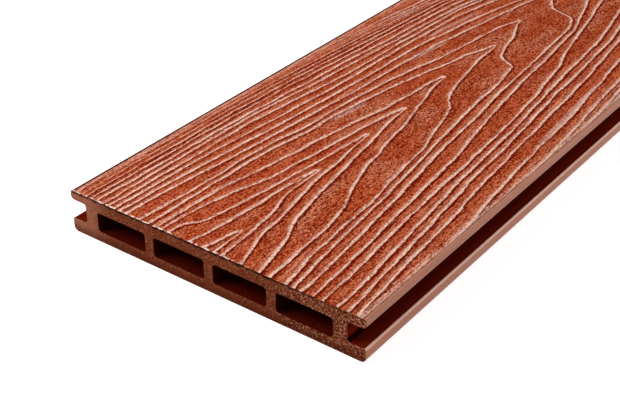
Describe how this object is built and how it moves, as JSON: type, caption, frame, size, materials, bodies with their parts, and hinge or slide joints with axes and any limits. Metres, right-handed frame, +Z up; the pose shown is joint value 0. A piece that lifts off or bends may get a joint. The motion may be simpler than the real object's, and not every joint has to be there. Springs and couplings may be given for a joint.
{
  "type": "decking board",
  "caption": "Hollow wood-plastic decking board with a wood-grain embossed walking face, rectangular chambers along its length and a clip groove in each long edge.",
  "frame": {"origin": "middle of the underside, at the height of the joists it lies on", "axes": "+X along the length, +Y across the width, +Z up out of the grained walking face"},
  "size_m": [2.2, 0.15, 0.02],
  "materials": {
    "composite": "red-brown wood-plastic composite: embossed grain on top, smooth extruded sides, sawn ends"
  },
  "bodies": {
    "root": {"decking_board": "composite"}
  },
  "joints": []
}
